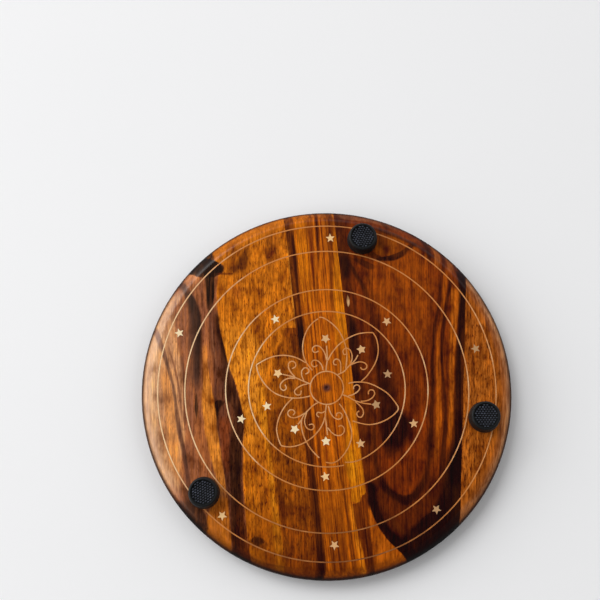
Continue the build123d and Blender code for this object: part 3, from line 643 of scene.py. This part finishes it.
wideStreaks = [
    # the warm field, and the nested arcs at its foot
    ((152, 72, 18), (4.0, 4.0), [
        (112, 35, 80, 0), (105, 38, 62, 0.7), (97, 40, 75, 0.8), (88, 32, 72), (75, 28, 74),
        (60, 33, 73, 0.9), (45, 40, 72, 0.7), (30, 47, 71, 0.4), (8, 50, 70, 0)]),
    ((82, 33, 12), (3.0, 3.0), [(-50, 26, 90, 0), (-62, 26, 90, 0.7), (-75, 26, 90), (-110, 26, 90)]),
    ((46, 18, 8), (2.2, 1.8), [
        (-16, 30, 75, 0), (-30, 30.5, 73.5, 0.5), (-42, 31, 72, 0.7), (-55, 32, 70, 0.8),
        (-65, 35, 67, 0.9), (-72, 40, 63), (-77, 47, 58), (-79.5, 51, 55, 0.8), (-81, 52, 54, 0)]),
    ((126, 52, 13), (2.0, 1.8), [
        (-5, 33, 70, 0), (-20, 33.5, 69, 0.8), (-35, 34, 68, 0.95), (-50, 35, 67), (-60, 38, 64),
        (-67, 42, 60), (-72, 48, 56), (-74, 51, 53, 0)]),
    ((96, 38, 12), (1.5, 1.5), [
        (-48, 40, 43, 0), (-56, 42, 58, 0.4), (-62, 45, 57, 0.5), (-66, 48, 55, 0.3), (-69, 50, 53, 0)]),
    # the dark wood along the left joint
    ((62, 27, 10), (1.0, 3.5), [
        (126, -10, 12, 0.8), (115, -10, 13, 0.7), (105, -10, 14.5, 0.6), (95, -10, 16, 0.8),
        (85, -10, 17.5, 0.9), (75, -10, 16, 0.5), (65, -10, 16, 0.45), (55, -10, 18, 0.7),
        (45, -10, 21, 0.8), (35, -10, 23, 0.9), (15, -10, 24, 0.85), (5, -10, 24.5, 0.85),
        (-5, -10, 26, 0.7), (-15, -10, 27, 0.5), (-30, -10, 28, 0.4), (-50, -10, 30, 0.3),
        (-62, -10, 31, 0.3), (-76, -10, 30, 0)]),
    ((30, 13, 8), (1.0, 2.0), [
        (98, 10, 15, 0), (90, 10, 17, 0.85), (82, 11, 17, 0.8), (76, 12, 16, 0.3), (60, 14, 17, 0.2),
        (48, 16, 20, 0.7), (40, 16.5, 21, 0.9), (30, 17, 21.5, 0.85), (20, 18, 22, 0.6),
        (10, 18, 22.5, 0.7), (2, 18.5, 23, 0.5), (-6, 19, 23, 0)]),
    ((46, 20, 9), (1.2, 1.2), [
        (92, 14, 17, 0), (85, 17, 20.5, 0.8), (78, 21, 24.5, 0.8), (70, 25, 28.5, 0.7), (62, 27, 31, 0.6),
        (54, 28, 32, 0.4), (46, 29, 33, 0)]),
    ((58, 24, 9), (0.9, 0.9), [
        (78, 15, 17, 0), (72, 16.5, 18.6, 0.6), (62, 18.5, 20.8, 0.6), (54, 20, 22, 0.5), (46, 21, 23, 0)]),
    ((70, 30, 11), (0.8, 0.8), [
        (88, 26, 28, 0), (80, 28, 30, 0.5), (70, 30.5, 32.5, 0.5), (58, 32.5, 34, 0.4), (50, 34, 35, 0)]),
    ((116, 49, 15), (1.2, 1.2), [
        (76, 20, 24, 0), (60, 21, 26, 0.5), (45, 24, 29, 0.8), (30, 24.5, 29.5, 0.8), (15, 26, 32, 0.6),
        (0, 27, 32, 0.4), (-12, 28, 33, 0)]),
    ((66, 28, 10), (2.0, 3.0), [
        (10, 24, 34, 0), (-2, 24, 35, 0.5), (-15, 24, 36, 0.6), (-30, 24, 36, 0.6), (-45, 25, 35, 0.4),
        (-60, 26, 34, 0)]),
    # the dark core
    ((50, 20, 9), (2.5, 3.5), [
        (62, 28, 32, 0), (50, 30, 38, 0.5), (40, 30, 40, 0.7), (28, 31, 42, 0.8), (15, 33, 44, 0.9),
        (5, 34, 46, 0.9), (-5, 34, 48, 0.6), (-14, 34, 50, 0)]),
    ((28, 11, 7), (3.0, 4.0), [
        (14, 37, 40, 0), (4, 37, 42, 0.7), (-5, 36.5, 45, 0.8), (-12, 36, 49, 0.85), (-18, 36, 54, 0.95),
        (-24, 36, 58), (-30, 36.5, 58), (-36, 37, 55), (-41, 38, 52, 0.85), (-47, 40, 47, 0.4),
        (-52, 41, 45, 0)]),
    # the black foot of the stave, and the orange corner
    ((28, 11, 6), (3.0, 1.0), [
        (-34, 84, 110, 0), (-45, 81, 110, 0.8), (-55, 79, 110, 0.95), (-65, 78, 110), (-75, 75, 110),
        (-83, 69, 110), (-90, 62, 110, 0.95), (-97, 53, 110, 0.95), (-104, 48, 110), (-118, 52, 110)]),
    ((92, 42, 22), (1.5, 1.5), [
        (-84, 38, 41, 0), (-89, 40, 45, 0.8), (-93, 42.5, 49, 0.8), (-97, 46, 52, 0.6), (-101, 50, 54, 0)]),
    ((26, 10, 6), (0.8, 1.8), [
        (-62, 27, 29, 0), (-66, 27.5, 32), (-75, 27.5, 33.5), (-82, 29, 35.5), (-88, 31, 38),
        (-93, 33.5, 41), (-98, 37, 45.5), (-103, 41, 51), (-107, 45, 57), (-112, 50, 62), (-118, 56, 70)]),
    ((176, 90, 22), (0.6, 0.6), [
        (-78, 20, 28.6, 0), (-83, 20, 29.6, 0.9), (-88, 20, 31), (-93, 20, 33.5), (-98, 20, 37),
        (-103, 20, 41), (-107, 20, 45), (-112, 20, 50), (-118, 20, 56), (-126, 20, 63)]),
    # the lines up the right side
    ((54, 21, 8), (0.6, 0.8), [
        (102, 84, 86.5, 0), (95, 83, 85.5, 0.7), (85, 81.5, 84, 0.6), (75, 80, 82, 0.7), (65, 79, 81, 0.8),
        (55, 77.5, 79.5, 0.8), (45, 75, 77.2, 0.9), (35, 74, 76.2, 0.9), (20, 72.5, 74.8, 0.9),
        (5, 72, 74.5, 0.9), (-10, 71, 73.8, 0.9), (-25, 70, 72.8, 0.9), (-40, 69, 71.8, 0.8),
        (-52, 68, 71, 0)]),
    ((58, 22, 9), (0.5, 0.6), [
        (84, 88, 91, 0), (75, 86.5, 89.5, 0.8), (65, 84.5, 86.6, 0.9), (50, 82, 84.4, 0.9),
        (35, 80, 82.4, 0.85), (20, 79, 81.2, 0.8), (5, 79.6, 81.6, 0.8), (-10, 80, 82.4, 0.8),
        (-25, 79.6, 82.4, 0.9), (-40, 77.8, 81, 0.9), (-55, 76, 79.8, 0.9), (-66, 75, 78, 0)]),
    ((188, 99, 28), (0.7, 0.5), [
        (73, 88, 92.5, 0), (67, 88, 95), (60, 87.5, 94), (50, 87, 92.4, 0.95), (40, 86.5, 91.2, 0.9),
        (25, 85.6, 89.6, 0.9), (10, 84.8, 88.4, 0.9), (-5, 84.2, 87.4, 0.9), (-20, 83.5, 86.4, 0.7),
        (-35, 82, 85, 0.4), (-48, 81, 84, 0)]),
    ((170, 85, 22), (0.5, 0.5), [
        (88, 84, 87, 0), (80, 83, 86, 0.6), (65, 81.4, 84, 0.8), (50, 79.8, 81.8, 0.85),
        (40, 77.8, 79.8, 0.9), (25, 76.2, 78.8, 0.9), (10, 75.8, 78.8, 0.9), (-10, 75.2, 79, 0.9),
        (-30, 74, 77.6, 0.8), (-45, 72.5, 75.8, 0.6), (-60, 70, 74, 0)]),
    ((84, 34, 11), (0.4, 0.4), [
        (60, 90.6, 91.4, 0), (50, 89.6, 90.4, 0.6), (35, 88, 88.8, 0.6), (15, 86.4, 87.2, 0.5),
        (0, 86, 86.6, 0)]),
    ((50, 23, 11), (1.6, 1.0), [
        (92, 90, 130, 0), (84, 91.5, 130, 0.7), (80, 92.5, 130), (70, 93, 130), (55, 92.6, 130),
        (40, 91.5, 130, 0.95), (25, 89.8, 130, 0.95), (10, 88.5, 130, 0.95), (-5, 87.5, 130, 0.9),
        (-25, 86.5, 130, 0.9), (-40, 85, 130, 0.95), (-60, 80, 130)]),
    ((24, 11, 8), (1.0, 1.2), [
        (85, 92, 100, 0), (80, 93, 99, 0.9), (72, 94, 99, 0.9), (60, 94.4, 97.6, 0.7), (45, 93, 96, 0.5),
        (25, 91, 94, 0.6), (5, 89.6, 92.6, 0.6), (-20, 88, 92, 0.7), (-45, 86, 90.5, 0.9),
        (-60, 82, 90, 0.9), (-75, 80, 88, 0.6), (-95, 60, 88, 0.8)]),
    # the knot under the top foot
    ((152, 76, 20), (2.5, 2.0), [
        (93.4, 40, 47, 0), (95.4, 37, 52, 0.8), (99, 35, 56), (103, 35, 56), (108, 36, 52, 0.9),
        (113, 36, 46, 0.5), (117, 36, 42, 0)]),
    ((58, 24, 9), (1.5, 1.0), [
        (96, 15, 19, 0), (92.5, 18, 25, 0.6), (89.5, 22, 31, 0.8), (87, 26, 34.5, 0.8), (85, 29, 34, 0.6),
        (83, 31, 33, 0)]),
    ((42, 17, 8), (1.2, 1.6), [
        (89.8, 39, 44, 0), (91, 36, 48, 0.9), (92.6, 35.5, 51.5), (94.4, 43, 55, 0.9),
        (97, 50.5, 57.5, 0.8), (100, 55.5, 61, 0.8), (103.5, 59.5, 65, 0.6), (107, 63, 67, 0)]),
    ((62, 26, 10), (1.0, 1.0), [
        (102, 27, 30, 0), (98.5, 28.5, 32.5, 0.7), (95, 31, 37.5, 0.8), (92.6, 34, 41, 0.8),
        (91, 37, 41, 0)]),
    ((58, 24, 9), (2.0, 2.0), [
        (119, 28, 34, 0), (115, 34, 40, 0.7), (111, 42, 50, 0.8), (107, 52, 58, 0.8), (103, 60, 66, 0.8),
        (99, 67, 72, 0.7), (95, 72, 77, 0.6), (90, 78, 82, 0.4), (84, 80, 84, 0)]),
    # the figure on the top right rim
    ((150, 96, 70), (2.0, 2.0), [
        (124, 10, 60, 0.6), (120, 31.2, 70, 0.5), (117, 41, 70, 0.35), (114, 48.8, 70, 0.15),
        (110, 57.2, 70, 0)]),
    ((54, 25, 15), (0.9, 1.1), [
        (121, 38, 41, 0), (118, 40, 44.5, 0.7), (115, 42, 46, 0.6), (112, 43, 46, 0)]),
    ((60, 28, 16), (1.0, 1.0), [
        (109, 67, 70, 0), (105, 69, 73.5, 0.9), (99, 70.5, 75, 0.9), (92, 71.5, 74.5, 0.5),
        (84, 71.5, 73.5, 0)]),
    ((172, 94, 40), (0.9, 0.7), [
        (106, 74, 77, 0), (101, 75.8, 80.2, 0.9), (95, 77, 81.6, 0.9), (88, 76.8, 80.5, 0.5),
        (80, 76.5, 79, 0)]),
    ((174, 96, 44), (0.9, 0.9), [
        (100, 86, 89, 0), (96, 85.8, 90.8, 0.9), (90, 86, 91.4, 0.9), (84, 86, 90.6, 0.6),
        (78, 86, 89, 0)]),
    ((246, 200, 146), (0.3, 0.3), [
        (57, 15.5, 15.4, 0), (58.2, 15.2, 15.8), (60, 14.8, 16.2), (62, 14.6, 16.2), (64, 14.7, 15.9),
        (65.6, 15, 15.5), (66.5, 15.3, 15.2, 0)]),
]
wideWood = {
    "ground": (120, 51, 12), "lean": 0.02, "seed": 3.0, "ragged": 0.2, "comb": 1.2,
    "fibre": 0.75, "thread": 0.45, "stripe": 0.8, "pore": 0.4, "fleck": 0.65, "cloud": 1.0,
    "streaks": wideStreaks,
}

rightStreaks = [
    ((186, 106, 38), (2.5, 2.5), [
        (45, 104, 109, 0), (20, 103, 111, 0.7), (0, 101, 112, 0.7), (-25, 99, 108, 0.5),
        (-45, 95, 102, 0.6), (-65, 93, 99, 0.6), (-80, 92, 97, 0)]),
    ((116, 58, 22), (2.0, 2.0), [
        (80, 98, 108, 0.3), (60, 99, 106, 0.4), (40, 99, 103, 0.4), (20, 97, 100, 0.3), (0, 95, 98, 0)]),
    ((214, 158, 116), (3.0, 2.0), [
        (84, 92.6, 130, 0.55), (70, 103.4, 130, 0.9), (50, 113.6, 130), (30, 120.6, 130, 0.95),
        (0, 124.5, 130, 0.85), (-30, 121.3, 130, 0.8), (-50, 114.6, 130, 0.75), (-70, 103.6, 130, 0.6),
        (-88, 88.8, 130, 0.3)]),
    ((66, 32, 12), (0.8, 0.8), [
        (27, 112.5, 113.5, 0), (29, 112, 114.5, 0.7), (31.5, 112, 114, 0.5), (34, 112, 113, 0)]),
]
rightWood = {
    "ground": (168, 93, 35), "lean": 0.03, "seed": 4.0, "ragged": 0.6, "comb": 4.0,
    "fibre": 1.2, "thread": 0.5, "stripe": 0.7, "pore": 1.1, "fleck": 1.1, "cloud": 0.9,
    "streaks": rightStreaks,
}

staveWoods = {
    "left_stave": ("leftStaveWood", leftWood),
    "middle_stave": ("middleStaveWood", middleWood),
    "wide_stave": ("wideStaveWood", wideWood),
    "right_stave": ("rightStaveWood", rightWood),
}
for node, (materialName, wood) in staveWoods.items():
    nodes[node].data.materials[0] = woodMaterial(materialName, wood)
print("staves dressed:", len(staveWoods))


# Brass wires and stars, sanded flush and lacquered over with the wood. A wire's colour carries painted
# highlight where it runs up and down the board, standing in for the side light on its slightly round back,
# and painted shade where it runs across.

brassLook = {
    "flowerReach": (46, 54),  # between the flower and the rings, in millimetres from the middle
    "leftReach": 110,  # so far left of the middle, wires gain their full painted glint, and so far right they lose as much of it
    "lowerReach": (-40, -115),  # over these Y the wires darken by their painted shade towards the bottom
    "patches": (8, 8, 3.0, 0.6),  # width and length in millimetres, detail and roughness
    "scratches": (0.12, 2.5, 2.0, 0.6),
    "scratchTone": (0.8, 0.72, 0.6, 1),
    "scratchShare": 0.25,
    "scratchRoughness": 0.16,
    "scratchBump": (0.2, 0.02 * mm),  # strength and depth
    "coat": 0.7,
    "coatRoughness": 0.17,
}
wireLook = {
    "bright": (255, 216, 165), "middling": (214, 136, 66), "dull": (118, 66, 28),
    "across": 0.42,  # the painted highlight of a ring where it runs across the board, and up and down it
    "upright": 0.78,
    "flower": 0.61,  # the flower's painted highlight, one level all round, as it turns every way
    "paintedLeftGlint": 0.15, "paintedLowerShade": 0.25, "patchGain": 0.6, "roughness": 0.42, "metal": 0.1,
}
starLook = {
    "across": 0.5, "upright": 0.5, "flower": 0.5,
    "paintedLeftGlint": 0.0, "paintedLowerShade": 0.0, "patchGain": 0.5, "roughness": 0.38, "metal": 0.05,
    "brightShare": 1.08, "dullShare": 0.75,  # how a star's tone varies across it
}
# the stars' tones carry painted highlight and painted shade, palest on the left and dullest on the right:
# each finish is its tone and the stars that have it
starFinishes = {
    "paintedGlintStarBrass": ((255, 231, 186), [
        "outer_star_left", "middle_star_left", "middle_star_upper_left", "gap_star_left",
        "petal_star_bottom", "petal_star_lower_left"]),
    "paintedLitStarBrass": ((252, 207, 146), [
        "outer_star_top", "outer_star_lower_left", "middle_star_bottom", "petal_star_left"]),
    "paintedShadeStarBrass": ((228, 178, 123), [
        "outer_star_bottom", "middle_star_right", "middle_star_upper_right", "gap_star_bottom",
        "petal_star_top", "petal_star_upper_right"]),
    "paintedDeepShadeStarBrass": ((192, 149, 104), [
        "outer_star_right", "outer_star_lower_right", "gap_star_right", "petal_star_right"]),
}


def brassMaterial(name, look):
    material, tree, shader = newMaterial(name)
    x, y, z = split(tree, placeInMillimetres(tree))
    radius = calc(tree, "SQRT", calc(tree, "MULTIPLY_ADD", x, x, times(tree, y, y)))
    aside = calc(tree, "DIVIDE", calc(tree, "ABSOLUTE", x), radius)
    # painted highlight: a wire is painted paler the more it runs up and down the board, standing in for the
    # side light on its round back
    shine = ramp(tree, times(tree, aside, aside), 0.0, 1.0, look["across"], look["upright"])
    onRings = ramp(tree, radius, *brassLook["flowerReach"])
    shine = calc(tree, "SUBTRACT", shine, look["flower"])
    shine = calc(tree, "MULTIPLY_ADD", onRings, shine, look["flower"])
    # painted glint on the left of the board, and as much painted shade on the right
    shine = calc(tree, "MULTIPLY_ADD", x, -look["paintedLeftGlint"] / brassLook["leftReach"], shine)
    # painted shade towards the bottom of the board
    lower = ramp(tree, y, *brassLook["lowerReach"], 0.0, look["paintedLowerShade"])
    patches = calc(tree, "SUBTRACT", stretchedNoise(tree, (x, y, z), *brassLook["patches"]), 0.5)
    shine = calc(tree, "SUBTRACT", shine, lower)
    shine = calc(tree, "MULTIPLY_ADD", patches, look["patchGain"], shine, clamp=True)
    dull, middling, bright = (tone(*look[key]) for key in ("dull", "middling", "bright"))
    colour = blendColours(tree, ramp(tree, shine, 0.0, 0.5), dull, middling)
    colour = blendColours(tree, ramp(tree, shine, 0.5, 1.0), colour, bright)
    sanding = stretchedNoise(tree, (y, x, z), *brassLook["scratches"])
    scratched = times(tree, sanding, brassLook["scratchShare"])
    swing = brassLook["scratchRoughness"]
    feed(tree, shader, {
        "Base Color": blendColours(tree, scratched, colour, brassLook["scratchTone"], "MULTIPLY"),
        "Roughness": calc(tree, "MULTIPLY_ADD", sanding, swing, look["roughness"] - swing / 2),
        "Normal": bump(tree, sanding, *brassLook["scratchBump"]),
        "Metallic": look["metal"],
        "Coat Weight": brassLook["coat"],
        "Coat Roughness": brassLook["coatRoughness"],
    })
    return material


finishes = [("wireBrass", wireLook, [name for name in nodes if name.endswith(("_wire", "_wires"))])]
for materialName, (colour, stars) in starFinishes.items():
    look = dict(starLook, middling=colour)
    look["bright"] = [min(255, share * starLook["brightShare"]) for share in colour]
    look["dull"] = [share * starLook["dullShare"] for share in colour]
    finishes.append((materialName, look, stars))
for materialName, look, pieces in finishes:
    brass = brassMaterial(materialName, look)
    for name in pieces:
        nodes[name].data.materials[0] = brass
    print("inlay dressed:", materialName, "on", len(pieces), "pieces")


# Rubber feet: a turned body with a rounded rim, and a tread of short raised bars.

footShape = {
    "inset": 0.01 * mm,  # how far the rubber stays inside the CAD foot
    "rimRound": 1.1 * mm,
    "rimWidth": 1.5 * mm,
    "taper": 0.9 * mm,  # how much narrower the top is than the base, on each side
    "skirtHeight": 1.1 * mm,
    "skirtRound": 0.35 * mm,
    "sunkRound": 0.18 * mm,
    "treadDepth": 0.55 * mm,
    "treadMargin": 0.15 * mm,
    "barLength": 1.2 * mm,
    "barWidth": 0.75 * mm,
    "barHeight": 0.5 * mm,
    "barPitch": 2.0 * mm,
    "rowPitch": 1.45 * mm,
    "barRound": 0.12 * mm,
    "turnSteps": 96,
    "rimSteps": 6,
    "smallSteps": 3,
    "barSteps": 2,
}
footTurns = {"top_foot": 8.0, "right_foot": 0.0, "left_foot": 38.0}
# each rubber: its tone, roughness, the size of its grit and the grit's depth
rubberLooks = {
    "smoothRubber": ((6, 8, 9), 0.55, 0.5 * mm, 0.02 * mm),
    "sunkRubber": ((4, 5, 6), 0.85, 0.25 * mm, 0.04 * mm),
    "treadRubber": ((50, 53, 62), 0.65, 0.25 * mm, 0.04 * mm),  # paler bar tops
}
rubberSurface = {
    "smear": (260.0, 2.0),  # of dust, scale and detail
    "smearEdge": (0.45, 0.75, 0.0, 0.55),
    "dustGain": 1.9,  # how much paler the dust is
    "gritDetail": 3.0,
    "gritEdge": (0.3, 0.7),
    "smoother": 0.08,  # how much roughness the grit takes off and adds
    "rougher": 0.1,
    "gritBump": 0.5,
    "specular": 0.25,
}
nearly = 1e-6  # points closer than this are taken as one


def rubberMaterial(name, colour, roughness, gritSize, gritDepth):
    material, tree, shader = newMaterial(name)
    surface = rubberSurface
    grit = plainNoise(tree, 1 / gritSize, surface["gritDetail"])
    smear = ramp(tree, plainNoise(tree, *surface["smear"]), *surface["smearEdge"])
    dusty = tone(*[share * surface["dustGain"] for share in colour])
    ends = (roughness - surface["smoother"], roughness + surface["rougher"])
    feed(tree, shader, {
        "Base Color": blendColours(tree, smear, tone(*colour), dusty),
        "Roughness": ramp(tree, grit, *surface["gritEdge"], *ends),
        "Normal": bump(tree, grit, surface["gritBump"], gritDepth),
        "Specular IOR Level": surface["specular"],
    })
    return material


rubbers = [rubberMaterial(name, *look) for name, look in rubberLooks.items()]
wallRubber, pitRubber, barRubber = range(len(rubbers))  # their places on a foot


def bevel(made, edges, width, steps, material=-1):
    bmesh.ops.bevel(made, geom=edges, offset=width, offset_type="OFFSET", affect="EDGES",
                    segments=steps, profile=0.5, material=material)


def turnedFoot(base, height, shape):
    made = bmesh.new()
    tread = base - shape["taper"]
    sunk = tread - shape["rimWidth"]
    pit = height - shape["treadDepth"]
    skirt = shape["skirtHeight"]
    profile = [(0, 0), (base, 0), (base, skirt), (tread, height), (sunk, height), (sunk, pit), (0, pit)]
    corners = [made.verts.new((x, 0, z)) for x, z in profile]
    lines = [made.edges.new(pair) for pair in zip(corners, corners[1:])]
    bmesh.ops.spin(made, geom=corners + lines, cent=(0, 0, 0), axis=(0, 0, 1), angle=math.tau,
                   steps=shape["turnSteps"], use_merge=True)
    bmesh.ops.remove_doubles(made, verts=made.verts, dist=nearly)
    bmesh.ops.recalc_face_normals(made, faces=made.faces)

    def ringEdges(radius, level):
        def onRing(vert):
            return abs(vert.co.xy.length - radius) < nearly and abs(vert.co.z - level) < nearly
        return [edge for edge in made.edges if all(onRing(vert) for vert in edge.verts)]

    bevel(made, ringEdges(tread, height), shape["rimRound"], shape["rimSteps"])
    bevel(made, ringEdges(sunk, height), shape["sunkRound"], shape["smallSteps"])
    bevel(made, ringEdges(base, skirt), shape["skirtRound"], shape["smallSteps"])
    for face in made.faces:
        middle = face.calc_center_median()
        inPit = middle.xy.length < sunk and middle.z > height / 2
        face.material_index = pitRubber if inPit else wallRubber
        face.smooth = True
    addTread(made, sunk - shape["treadMargin"], pit, shape)
    return made


def addTread(made, radius, level, shape):
    reach = int(radius / shape["rowPitch"]) + 1
    sizes = (shape["barLength"], shape["barWidth"], shape["barHeight"])
    corner = math.hypot(*sizes[:2]) / 2
    bars = set()
    for row in range(-reach, reach + 1):
        offset = 0.5 * shape["barPitch"] if row % 2 else 0.0
        for column in range(-reach, reach + 1):
            spot = Vector((column * shape["barPitch"] + offset, row * shape["rowPitch"], 0))
            if spot.length + corner > radius:
                continue
            spot.z = level + shape["barHeight"] / 2
            matrix = Matrix.Translation(spot) @ Matrix.Diagonal((*sizes, 1))
            bars.update(bmesh.ops.create_cube(made, size=1.0, matrix=matrix)["verts"])

    def onTop(vert):
        return abs(vert.co.z - level - shape["barHeight"]) < nearly

    for face in made.faces:
        if bars.issuperset(face.verts):
            face.material_index = barRubber if all(map(onTop, face.verts)) else pitRubber
    shown = [edge for edge in made.edges if bars.issuperset(edge.verts) and any(map(onTop, edge.verts))]
    bevel(made, shown, shape["barRound"], shape["barSteps"], barRubber)


def addObject(name, data):
    made = bpy.data.objects.new(name, data)
    scene.collection.objects.link(made)
    return made


def newPiece(name, made, materials):
    mesh = bpy.data.meshes.new(name)
    made.to_mesh(mesh)
    made.free()
    for material in materials:
        mesh.materials.append(material)
    return addObject(name, mesh)


for node, turn in footTurns.items():
    low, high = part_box(node)
    centre = (low + high) / 2
    base = (high.x - low.x) / 2 - footShape["inset"]
    foot = turnedFoot(base, high.z - low.z - footShape["inset"], footShape)
    place = Matrix.Translation((centre.x, centre.y, low.z)) @ Matrix.Rotation(math.radians(turn), 4, "Z")
    bmesh.ops.transform(foot, matrix=place, verts=foot.verts)
    piece = newPiece(node.replace("_foot", "FootRubber"), foot, rubbers)
    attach(piece, "root")
    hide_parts(node)
print("feet made:", len(footTurns))


# Floor, lights and camera.

stageLook = {
    "floorTone": (246, 246, 247),
    "floorReach": 6.0,
    "floorMottle": (6.0, 4.0),  # scale and detail
    "floorPaler": (0.3, 0.7, 0.0, 0.04),
    "floorRoughness": 0.8,
    "floorSpecular": 0.2,
    "overhead": (0.80, 0.93, 1.25, 0.03),  # between these heights the sky's level falls to the patch's
    "nearSide": (-0.7, 0.4, 0.3, 1.0),  # less light comes from the camera's side
}
# each lamp: azimuth and height above the floor in degrees, distance, width, height, power
lampLooks = {
    "keyLight": (140, 50, 4.0, 2.1, 2.1, 49.0),
    "sideStrip": (178, 20, 3.5, 5.2, 2.2, 83.0),
}
cameraLook = {
    "place": (-0.01836, -0.10609, 0.7215),
    "tilt": 13.46,  # degrees, as the roll is
    "roll": 0.07,
    "lens": 61.6,  # millimetres, as the sensor's width is
    "sensor": 36.0,
}


def floorMaterial(name, look):
    material, tree, shader = newMaterial(name)
    mottle = ramp(tree, plainNoise(tree, *look["floorMottle"]), *look["floorPaler"])
    feed(tree, shader, {
        "Base Color": blendColours(tree, mottle, tone(*look["floorTone"]), (1, 1, 1, 1)),
        "Roughness": look["floorRoughness"],
        "Specular IOR Level": look["floorSpecular"],
    })
    return material


ground = bmesh.new()
bmesh.ops.create_grid(ground, x_segments=8, y_segments=8, size=stageLook["floorReach"] / 2)
floor = newPiece("floor", ground, [floorMaterial("paleFloor", stageLook)])

# The sky is a soft surround with a dark patch overhead, so the lacquer stays clear seen from above.
world = bpy.data.worlds.new("studio")
scene.world = world
world.use_nodes = True
sky = world.node_tree
sky.nodes.clear()
direction = addNode(sky, "ShaderNodeTexCoord").outputs["Generated"]
facing = split(sky, direction)
level = ramp(sky, facing["Z"], *stageLook["overhead"])
level = times(sky, level, ramp(sky, facing["Y"], *stageLook["nearSide"]))
back = addNode(sky, "ShaderNodeBackground", {"Strength": level})
addNode(sky, "ShaderNodeOutputWorld", {"Surface": back.outputs[0]})

for lampName, (azimuth, height, distance, width, tall, power) in lampLooks.items():
    lamp = bpy.data.lights.new(lampName, "AREA")
    lamp.shape = "RECTANGLE"
    lamp.size, lamp.size_y = width, tall
    lamp.energy = power
    light = addObject(lampName, lamp)
    turn, lift = math.radians(azimuth), math.radians(height)
    light.rotation_euler = (math.radians(90 - height), 0, math.radians(azimuth + 90))
    ahead = Vector((math.cos(turn), math.sin(turn), 0))
    light.location = distance * (ahead * math.cos(lift) + Vector((0, 0, math.sin(lift))))

camera = addObject("camera", bpy.data.cameras.new("camera"))
camera.location = cameraLook["place"]
camera.rotation_euler = (math.radians(cameraLook["tilt"]), 0, math.radians(cameraLook["roll"]))
camera.data.lens = cameraLook["lens"]
camera.data.sensor_width = cameraLook["sensor"]
scene.camera = camera
scene.view_settings.view_transform = "Standard"
print("stage, lights and camera set")
